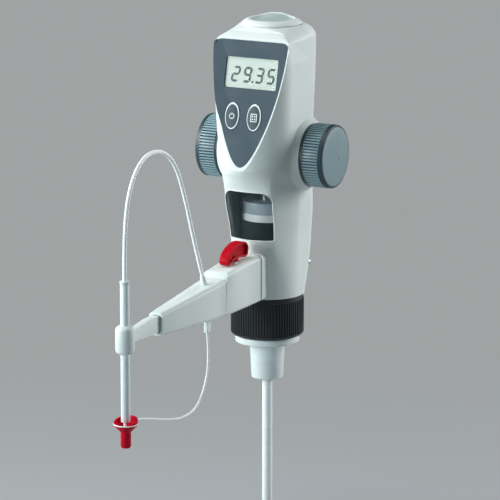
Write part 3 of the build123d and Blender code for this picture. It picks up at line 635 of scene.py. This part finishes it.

# %% Painted shade on the grooves and end rings, and the left handwheel
use(right_wheel, width=0.14 * MM, segments=1, angle_limit=radians(50))
right_wheel.data.materials.clear()
right_wheel.data.materials.append(wheel_blue_grey)
right_wheel.data.materials.append(wheel_painted_shade)
# Painted shade: the groove floors and every face outside the ribbed band, the end rings among them, take the
# darker material.
for face in right_wheel.data.polygons:
    out = hypot(face.center.y - WHEEL_AT[1] * MM, face.center.z - WHEEL_AT[2] * MM) / MM
    in_groove = RIB_FROM < face.center.x / MM < RIB_TO and out < WHEEL_R - 0.6
    face.material_index = int(in_groove or not RIB_FROM - 0.1 < face.center.x / MM < RIB_TO + 0.1)


def mirrored(piece, name):
    """A copy of a piece with its own mesh, mirrored to the other side and turned right side out."""
    copy = bpy.data.objects.new(name, piece.data.copy())
    scene.collection.objects.link(copy)
    copy.scale.x = -1
    only(copy)
    bpy.ops.object.transform_apply(location=False, rotation=False, scale=True)
    bpy.ops.object.mode_set(mode="EDIT")
    close_mesh()
    return copy


left_wheel = mirrored(right_wheel, "left_handwheel_body")
settle(right_wheel, "wheels", "wheel_plastic", None, "right_handwheel", smooth=30)
settle(left_wheel, "wheels", "wheel_plastic", None, "left_handwheel", smooth=30)

# %% Wheel covers
cover_rings = [(24.2, 56.05), (24.2, 57.45), (23.9, 57.75), (22.6, 57.95), (19, 58.12), (12, 58.25),
               (5, 58.3), (1.0, 58.3)]
right_cover = turned("right_wheel_cover", cover_rings, 96, WHEEL_AT, along="x")
bpy.ops.object.select_all(action="DESELECT")
bpy.ops.mesh.primitive_uv_sphere_add(segments=24, ring_count=12, radius=0.8 * MM,
                                     location=(58.5 * MM, 12.2 * MM, 155 * MM))
dimple = bpy.context.object
cut = right_cover.modifiers.new("dimple", "BOOLEAN")
cut.object = dimple
cut.operation = "DIFFERENCE"
only(right_cover)
bpy.ops.object.modifier_apply(modifier="dimple")
bpy.data.objects.remove(dimple)
left_cover = mirrored(right_cover, "left_wheel_cover")
for cover in (right_cover, left_cover):
    settle(cover, "wheels", "cover_plastic", wheel_face_grey, "wheel_covers", smooth=30)

# %% [markdown]
# ## Screw collar
# The black collar has fine flutes from its lower rim to a narrow smooth band at the top. It is made
# as the wheels are: turned with four sides for each flute, then one pair of sides is pushed in.

# %% Collar
COLLAR_R, FLUTES = 30.0, 80
FLUTE_FROM, FLUTE_TO = 8.4, 36.2
collar = turned("screw_collar_body", [(21.9, 30), (22.3, 6.0), (27.6, 6.0), (29.0, 6.7), (29.8, 7.8),
                                      (COLLAR_R, FLUTE_FROM), (COLLAR_R, FLUTE_TO), (29.3, 36.8),
                                      (29.3, 39.4), (28.8, 40.0), (20, 40.0)], FLUTES * 4)
only(collar)
bpy.ops.object.mode_set(mode="EDIT")
flutes = pick(collar, lambda middle, normal: FLUTE_FROM * MM < middle.z < FLUTE_TO * MM
              and hypot(middle.x, middle.y) > 29.8 * MM
              and int((atan2(middle.y, middle.x) / (2 * pi) % 1) * FLUTES * 4) % 4 in (0, 1))
bpy.ops.mesh.extrude_region_move()
push = (COLLAR_R - 0.9) / COLLAR_R
bpy.ops.transform.resize(value=(push, push, 1), center_override=(0, 0, 22 * MM))
bpy.ops.object.mode_set(mode="OBJECT")
print("flute faces", flutes)
use(collar, width=0.16 * MM, segments=1, angle_limit=radians(50))
settle(collar, "adapter", "black_plastic", collar_black, "screw_collar", smooth=30)

# %% [markdown]
# ## Top cap
# The cap is a low dome with a wide rim and a shallow dish, set in a round seat of the housing.

# %% Cap
cap = turned("top_cap_dome", [(23.4, 256.4), (23.4, 261.5), (24.3, 262.0), (24.5, 262.5), (24.1, 263.2),
                              (22.8, 264.2), (21.2, 265.1), (19.8, 265.8), (18.9, 266.0), (18.2, 265.9),
                              (17.5, 265.3), (16.6, 264.8), (12, 264.9), (6, 265.2), (1, 265.3)],
             96, (*CAP_AT, 0))
cap.data.materials.append(cap_white)
cap.data.materials.append(cap_dish_painted_shade)
# Painted shade on the dish floor and the low hill in it: the upward faces inside the rim take the
# grey-green.
for face in cap.data.polygons:
    out = hypot(face.center.x / MM - CAP_AT[0], face.center.y / MM - CAP_AT[1])
    face.material_index = int(out < 17.8 and face.normal.z > 0)
for vertex in cap.data.vertices:
    back = vertex.co.y / MM - CAP_AT[1]
    if vertex.co.z / MM > 264.7:
        vertex.co.z += 1.7 * MM * ease(0, 13, back) * (1 - ease(3, 15, abs(vertex.co.x / MM + 5)))
settle(cap, "head", "housing_plastic", None, "top_cap", smooth=40)

# %% Ring of the strap under the rim of the red cap
RING_R, RING_THICK = 9.25, 0.5
RING_AT = (0, -236.5, -13.6)
bpy.ops.object.select_all(action="DESELECT")
bpy.ops.mesh.primitive_torus_add(major_radius=RING_R * MM, minor_radius=RING_THICK * MM, major_segments=64,
                                 minor_segments=12, location=[v * MM for v in RING_AT])
strap_ring = bpy.context.object
strap_ring.name = "strap_ring"
settle(strap_ring, "spout_cap", "strap_plastic", strap_white, smooth=60)

# %% [markdown]
# ## Valve lever
# The lever is an arched wing that lies along the arm, with a hollow in each side. It starts as a
# flat outline with its corners listed, gets its width by extruding, and its edges are rounded
# with a bevel. The hollows are made by insetting the two sides and pushing them in.

# %% Lever
KNOTS = [(-41.2, 84.6), (-42.6, 80.6), (-46.6, 79.6), (-50.4, 80.3), (-56, 80.8), (-62, 80.8), (-67.2, 79.9),
         (-70.4, 78.4), (-73.8, 77.6), (-76.0, 79.6), (-75.6, 83.4), (-72.4, 87.0), (-66.6, 90.2),
         (-59, 92.4), (-51, 92.9), (-44.8, 91.3), (-41.7, 88.2)]
HALF_WIDTH = 4.3


def through(knots, steps=3):
    """A closed line that passes smoothly through its knots."""
    line = []
    for i in range(len(knots)):
        a, b, c, d = (Vector(knots[(i + k) % len(knots)]) for k in (-1, 0, 1, 2))
        for k in range(steps):
            t = k / steps
            line.append((2 * b + (c - a) * t + (2 * a - 5 * b + 4 * c - d) * t**2
                         + (3 * b - a - 3 * c + d) * t**3) / 2)
    return line


OUTLINE = through(KNOTS)
bpy.ops.object.select_all(action="DESELECT")
bpy.ops.mesh.primitive_circle_add(vertices=len(OUTLINE), radius=10 * MM, fill_type="NGON")
lever = bpy.context.object
lever.name = "valve_lever_wing"
for vertex, (y, z) in zip(lever.data.vertices, OUTLINE):
    vertex.co = (-HALF_WIDTH * MM, y * MM, z * MM)
bpy.ops.object.mode_set(mode="EDIT")
bpy.ops.mesh.select_all(action="SELECT")
bpy.ops.mesh.extrude_region_move(TRANSFORM_OT_translate={"value": (2 * HALF_WIDTH * MM, 0, 0)})
bpy.ops.mesh.select_all(action="SELECT")
bpy.ops.mesh.normals_make_consistent(inside=False)
for side in (-1, 1):
    pick(lever, lambda middle, normal: normal.x * side > 0.9)
    bpy.ops.mesh.inset(thickness=2.0 * MM, use_even_offset=True)
    bpy.ops.mesh.extrude_region_move(TRANSFORM_OT_translate={"value": (-side * 2.4 * MM, 0, 0)})
bpy.ops.object.mode_set(mode="OBJECT")
use(lever, width=0.9 * MM, segments=3, angle_limit=radians(50))
hub = turned("lever_hub", [(2.0, 78.9), (5.4, 78.9), (5.4, 80.2), (4.8, 80.8), (3.4, 81.4), (3.0, 84),
                           (2, 84)], 48, (0, -62, 0))
settle(lever, "valve", "red_plastic", raspberry, "valve_lever", smooth=45)
settle(hub, "valve", "red_plastic", raspberry, smooth=40)

# %% [markdown]
# ## The display
# Everything here lies in the plane of the leaning display face. `on_face` carries a mesh that was
# made flat, with x across, y up and z out of the face, into that plane. Digits are built of one
# bar with pointed ends, modelled once and copied.

# %% Plane of the face
FACE_TILT = 0.223
face_out = Vector((0, -1, FACE_TILT)).normalized()
face_across = Vector((1, 0, 0))
face_up = face_out.cross(face_across)
FACE_AT = (0, -38.585, 200)
face_turn = Matrix((face_across, face_up, face_out)).transposed().to_4x4()
FACE = Matrix.Translation(Vector(FACE_AT) * MM) @ face_turn


def on_face(piece, x=0, y=0, z=0, wide=1, high=1):
    """Carry a flat mesh, made round the origin, to a place on the display face."""
    stretch = Matrix.Diagonal((wide, high, 1, 1))
    piece.data.transform(FACE @ Matrix.Translation(Vector((x, y, z)) * MM) @ stretch)


# %% One bar of a digit
BAR, THICK = 5.45, 2.0
DIGIT_HIGH, SLANT = 13.0, 0.14
bpy.ops.object.select_all(action="DESELECT")
bpy.ops.mesh.primitive_plane_add(size=1)
bar = bpy.context.object
bar.scale = ((BAR - THICK) * MM, THICK * MM, 1)
bpy.ops.object.transform_apply(location=False, rotation=False, scale=True)
bpy.ops.object.mode_set(mode="EDIT")
for side in (-1, 1):
    pick(bar, lambda middle, along: middle.x * side > 1 * MM and abs(along.x) < 0.1 * MM, "edges")
    bpy.ops.mesh.extrude_edges_move(TRANSFORM_OT_translate={"value": (side * THICK / 2 * MM, 0, 0)})
    bpy.ops.mesh.merge(type="CENTER")
thicken(0.06)
print("bar faces", len(bar.data.polygons))

# %% Digits
reach = DIGIT_HIGH / 2 - THICK / 2
PLACES = {"top": (0, reach, 0), "middle": (0, 0, 0), "bottom": (0, -reach, 0),
          "left_up": (-BAR / 2, reach / 2, 1), "right_up": (BAR / 2, reach / 2, 1),
          "left_down": (-BAR / 2, -reach / 2, 1), "right_down": (BAR / 2, -reach / 2, 1)}
LIT = {2: "top right_up middle left_down bottom", 9: "top left_up right_up middle right_down bottom",
       3: "top right_up middle right_down bottom", 5: "top left_up middle right_down bottom"}
DIGIT_AT = ((2, -12.2), (9, -1.7), (3, 9.2), (5, 19.5))
DIGIT_Y = 26.4
bars = []
for digit, x in DIGIT_AT:
    for place in LIT[digit].split():
        px, py, upright = PLACES[place]
        copy = bpy.data.objects.new("bar", bar.data.copy())
        scene.collection.objects.link(copy)
        if upright:
            copy.data.transform(Matrix.Rotation(pi / 2, 4, "Z"))
            copy.data.transform(Matrix.Diagonal((1, 0.98, 1, 1)))
        copy.data.transform(Matrix.Translation(Vector((px, py, 0)) * MM))
        copy.data.transform(Matrix(((1, SLANT, 0, 0), (0, 1, 0, 0), (0, 0, 1, 0), (0, 0, 0, 1))))
        on_face(copy, x, DIGIT_Y, -1.2)
        bars.append(copy)
bpy.data.objects.remove(bar)
point = turned("point", [(1.2, 0), (1.2, 0.06)], 4)
on_face(point, 3.3, DIGIT_Y - reach, -1.2)
bpy.ops.object.select_all(action="DESELECT")
for copy in bars + [point]:
    copy.select_set(True)
bpy.context.view_layer.objects.active = bars[0]
bpy.ops.object.join()
digits = bpy.context.object
digits.name = "lcd_digits"
settle(digits, "head", "display_glass", lcd_ink)

# %% [markdown]
# ## Push buttons
# Each button is an oval dome. A white oval is printed along its edge, and its band is widened at the
# upper right as a painted highlight. The printed band is a ring of the dome's own faces with a second
# material. A small sign is printed in the middle: the open ring with a bar for power on the left, and
# a framed sign on the right.

# %% Domes
DOME = [(1.16, -4.2), (1.16, -3.25), (1.0, -3.25), (1.0, 0.25), (0.985, 0.45), (0.90, 0.62), (0.87, 0.62),
        (0.75, 0.74), (0.5, 0.9), (0.25, 0.98), (0.05, 1.0)]
BUTTONS = {"power_button": (-11.0, -7.4, "power_key"), "mode_button": (8.7, -7.4, "mode_key")}
OVAL_X, OVAL_Y = 6.4, 11.0
for name, (x, y, body) in BUTTONS.items():
    dome = turned(name + "_dome", [(r * 10, z) for r, z in DOME], 72)
    dome.data.materials.append(button_slate)
    dome.data.materials.append(print_and_painted_highlight)
    for face in dome.data.polygons:
        out = hypot(face.center.x, face.center.y) / (10 * MM)
        face.material_index = int(0.88 < out < 0.99 and face.center.z > 0.4 * MM)
    # Painted highlight: the inner edge of the printed band moves towards the lower left, so the band is
    # wider at the upper right.
    for vertex in dome.data.vertices:
        out = hypot(vertex.co.x, vertex.co.y) / (10 * MM)
        if 0.8 < out < 0.895 and vertex.co.z > 0.5 * MM:
            vertex.co.x -= 0.35 * MM
            vertex.co.y -= 0.25 * MM
    on_face(dome, x, y, 0, OVAL_X / 10, OVAL_Y / 10)
    settle(dome, body, "button_plastic", None, name, smooth=35)

# %% Signs


def bar_sign(name, x, y, wide, high, thick=0.12):
    """A flat printed bar."""
    bpy.ops.object.select_all(action="DESELECT")
    bpy.ops.mesh.primitive_plane_add(size=1)
    sign = bpy.context.object
    sign.name = name
    place = Matrix.Translation(Vector((x, y, 0)) * MM)
    sign.data.transform(place @ Matrix.Diagonal((wide * MM, high * MM, 1, 1)))
    bpy.ops.object.mode_set(mode="EDIT")
    thicken(thick)
    return sign


def ring_sign(name, radius, stroke, gap_from, gap_to, sides=48, thick=0.12):
    """A flat printed ring that is open between two angles in degrees."""
    bpy.ops.object.select_all(action="DESELECT")
    bpy.ops.mesh.primitive_circle_add(vertices=sides, radius=radius * MM, fill_type="NOTHING")
    sign = bpy.context.object
    sign.name = name
    bpy.ops.object.mode_set(mode="EDIT")
    pick(sign, lambda middle, along: gap_from < degrees(atan2(middle.y, middle.x)) < gap_to, "edges")
    bpy.ops.mesh.delete(type="EDGE")
    bpy.ops.mesh.select_all(action="SELECT")
    bpy.ops.mesh.extrude_edges_move()
    inner = (radius - stroke) / radius
    bpy.ops.transform.resize(value=(inner, inner, 1), center_override=(0, 0, 0))
    thicken(thick)
    return sign


def joined(name, parts, body, slot, material):
    """Join the parts of a sign into one printed piece."""
    bpy.ops.object.select_all(action="DESELECT")
    for part in parts:
        part.select_set(True)
    bpy.context.view_layer.objects.active = parts[0]
    bpy.ops.object.join()
    whole = bpy.context.object
    whole.name = name
    return settle(whole, body, slot, material)


SIGN_Y, SIGN_Z = -7.6, 0.93
power_parts = [ring_sign("ring", 2.35, 0.62, 58, 122), bar_sign("stem", 0, 1.75, 0.62, 2.2)]
for part in power_parts:
    on_face(part, BUTTONS["power_button"][0], SIGN_Y, SIGN_Z)
joined("power_sign", power_parts, "power_key", "button_plastic", print_and_painted_highlight)
frame_half, frame_high = 2.5, 3.0
mode_parts = [bar_sign("side", s * frame_half, 0, 0.6, 2 * frame_high + 0.6) for s in (-1, 1)]
mode_parts += [bar_sign("end", 0, s * frame_high, 2 * frame_half, 0.6) for s in (-1, 1)]
mode_parts += [bar_sign("cell", s * 0.95, t * 1.15, 0.95, 1.3) for s in (-1, 1) for t in (-1, 1)]
for part in mode_parts:
    on_face(part, BUTTONS["mode_button"][0], SIGN_Y, SIGN_Z)
joined("mode_sign", mode_parts, "mode_key", "button_plastic", print_and_painted_highlight)

# %% [markdown]
# ## Display frame and window rim
# The clear display window lies over a thin dark frame with round corners. The window in the column
# has a fine raised rim. Its line is found by casting rays at the housing, so that it lies on the
# curved surface.

# %% Frame of the display
LCD_AT, LCD_WIDE, LCD_HIGH = (1.9, 27.7), 48.4, 26.4
bpy.ops.object.select_all(action="DESELECT")
bpy.ops.mesh.primitive_plane_add(size=1)
bezel = bpy.context.object
bezel.name = "display_frame"
bezel.data.transform(Matrix.Diagonal((LCD_WIDE * MM, LCD_HIGH * MM, 1, 1)))
bpy.ops.object.mode_set(mode="EDIT")
bpy.ops.mesh.select_all(action="SELECT")
bpy.ops.mesh.inset(thickness=0.95 * MM)
bpy.ops.mesh.select_all(action="DESELECT")
inner = bmesh.from_edit_mesh(bezel.data)
bpy.ops.mesh.select_mode(type="VERT")
for vertex in inner.verts:
    vertex.select_set(abs(vertex.co.x) < (LCD_WIDE / 2 - 0.5) * MM)
inner.select_flush_mode()
bmesh.update_edit_mesh(bezel.data)
bpy.ops.mesh.bevel(offset=1.9 * MM, segments=5, affect="VERTICES")
pick(bezel, lambda middle, normal: max(abs(middle.x), abs(middle.y)) < 2 * MM)
bpy.ops.mesh.delete(type="FACE")
thicken(0.08)
on_face(bezel, *LCD_AT, -1.22)
settle(bezel, "head", "panel_plastic", bezel_black)

# %% Rim of the window
WINDOW = [(-19.5, 90.0, 1.5), (19.5, 90.0, 1.5), (21.8, 130.8, 8.0), (-21.8, 130.8, 8.0)]
RIM_OUT, RIM_R = 0.25, 0.42
WINDOW_MIDDLE = (0, 110)
RAY_FROM, FRONT_SIDE = -90, -15
shell = BVHTree.FromObject(bpy.data.objects["front_housing_moulded"], bpy.context.evaluated_depsgraph_get())


def rounded_outline(corners, steps=7):
    """Points round an outline whose corners (x, z, radius) are rounded."""
    points = []
    for i, (x, z, radius) in enumerate(corners):
        here = Vector((x, z))
        before = (Vector(corners[i - 1][:2]) - here).normalized()
        after = (Vector(corners[(i + 1) % len(corners)][:2]) - here).normalized()
        half_angle = before.angle(after) / 2
        middle = here + (before + after).normalized() * radius / sin(half_angle)
        start = here + before * radius / (sin(half_angle) / cos(half_angle)) - middle
        turn = pi - 2 * half_angle
        for k in range(steps + 1):
            angle = turn * k / steps
            points.append(middle + Vector((start.x * cos(angle) - start.y * sin(angle),
                                           start.x * sin(angle) + start.y * cos(angle))))
    return points


rim_line = []
outline = rounded_outline(WINDOW)
for a, b in zip(outline, outline[1:] + outline[:1]):
    count = max(1, int((b - a).length / 1.5))
    for k in range(count):
        spot = a.lerp(b, k / count)
        inward = (Vector(WINDOW_MIDDLE) - spot).normalized()
        spot = spot - inward * RIM_OUT
        hit = shell.ray_cast(Vector((spot.x * MM, RAY_FROM * MM, spot.y * MM)), Vector((0, 1, 0)))
        if hit[0] and hit[0].y < FRONT_SIDE * MM:
            rim_line.append(hit[0])
curve = bpy.data.curves.new("window_rim", "CURVE")
curve.dimensions = "3D"
line = curve.splines.new("POLY")
line.points.add(len(rim_line) - 1)
for knot, place in zip(line.points, rim_line):
    knot.co = (*place, 1)
line.use_cyclic_u = True
curve.bevel_depth = RIM_R * MM
curve.bevel_resolution = 3
rim = bpy.data.objects.new("window_rim", mesh_of(curve, "window_rim"))
scene.collection.objects.link(rim)
rim.data.materials.clear()
# The raised rim is real; its paler white is a painted highlight.
settle(rim, "head", "housing_plastic", rim_painted_highlight, smooth=60)
print("rim points", len(rim_line))

# %% [markdown]
# ## Studio
# A plain pale floor and plain soft light. The floor runs far back, so that no horizon shows. Near
# the object it takes light and shadow, and further out it turns into an even grey for the camera.
# The main lamp stands at the left, one lights the front from low down, one the right-hand rear edge
# and one the top, and the sky fills the rest.

# %% Floor
floor_z = cad_low.z - 0.002
bpy.ops.object.select_all(action="DESELECT")
bpy.ops.mesh.primitive_grid_add(x_subdivisions=8, y_subdivisions=8, size=30, location=(0, 4, floor_z))
floor = bpy.context.object
floor.name = "floor"
bpy.ops.object.transform_apply(location=True, rotation=False, scale=False)
paper = bpy.data.materials.new("paper_sweep")
paper.use_nodes = True
tree = paper.node_tree
link = tree.links.new
shader = tree.nodes["Principled BSDF"]
shader.inputs["Roughness"].default_value = 0.9
shader.inputs["Base Color"].default_value = (*srgb(158, 161, 163), 1)
coords = tree.nodes.new("ShaderNodeTexCoord")
away = tree.nodes.new("ShaderNodeVectorMath")
away.operation = "LENGTH"
depth = tree.nodes.new("ShaderNodeMapRange")
depth.inputs["From Min"].default_value = 0.2
depth.inputs["From Max"].default_value = 0.7
seen = tree.nodes.new("ShaderNodeLightPath")
shown = tree.nodes.new("ShaderNodeMath")
shown.operation = "MULTIPLY"
even = tree.nodes.new("ShaderNodeEmission")
clouds = tree.nodes.new("ShaderNodeTexNoise")
clouds.inputs["Scale"].default_value = 0.6
tones = tree.nodes.new("ShaderNodeValToRGB")
tones.color_ramp.elements[0].color = (*srgb(158, 161, 161), 1)
tones.color_ramp.elements[1].color = (*srgb(163, 166, 166), 1)
both = tree.nodes.new("ShaderNodeMixShader")
link(coords.outputs["Object"], away.inputs[0])
link(coords.outputs["Object"], clouds.inputs["Vector"])
link(away.outputs["Value"], depth.inputs["Value"])
link(depth.outputs[0], shown.inputs[0])
link(seen.outputs["Is Camera Ray"], shown.inputs[1])
link(clouds.outputs["Fac"], tones.inputs[0])
link(tones.outputs[0], even.inputs["Color"])
link(shown.outputs[0], both.inputs[0])
link(shader.outputs[0], both.inputs[1])
link(even.outputs[0], both.inputs[2])
link(both.outputs[0], tree.nodes["Material Output"].inputs["Surface"])
floor.data.materials.append(paper)

# %% Lamps


def soft_lamp(name, size, power, azimuth, elevation, away=1.6, colour=(1, 1, 1)):
    """Square area lamp that looks at the object."""
    light = bpy.data.lights.new(name, "AREA")
    light.shape = "SQUARE"
    light.size = size
    light.energy = power
    light.color = colour
    lamp = bpy.data.objects.new(name, light)
    scene.collection.objects.link(lamp)
    a, e = radians(azimuth), radians(elevation)
    direction = Vector((sin(a) * cos(e), -cos(a) * cos(e), sin(e)))
    lamp.location = AIM + direction * away
    lamp.rotation_euler = (-direction).to_track_quat("-Z", "Y").to_euler()


soft_lamp("key_lamp", 0.7, 20, -68, 22)
soft_lamp("front_lamp", 0.6, 17, -34, 10, colour=(0.86, 0.97, 1.0))
soft_lamp("side_lamp", 0.8, 21, 134, 14)
soft_lamp("top_lamp", 0.8, 10, -30, 76)
world = bpy.data.worlds.new("studio")
scene.world = world
world.use_nodes = True
tree = world.node_tree
sky = tree.nodes["Background"]
sky.inputs["Color"].default_value = (0.50, 0.84, 0.96, 1)
sky.inputs["Strength"].default_value = 0.12
far_grey = tree.nodes.new("ShaderNodeBackground")
far_grey.inputs["Color"].default_value = (*srgb(156, 160, 161), 1)
seen = tree.nodes.new("ShaderNodeLightPath")
both = tree.nodes.new("ShaderNodeMixShader")
tree.links.new(seen.outputs["Is Camera Ray"], both.inputs[0])
tree.links.new(sky.outputs[0], both.inputs[1])
tree.links.new(far_grey.outputs[0], both.inputs[2])
tree.links.new(both.outputs[0], tree.nodes["World Output"].inputs["Surface"])
scene.view_settings.view_transform = "Standard"
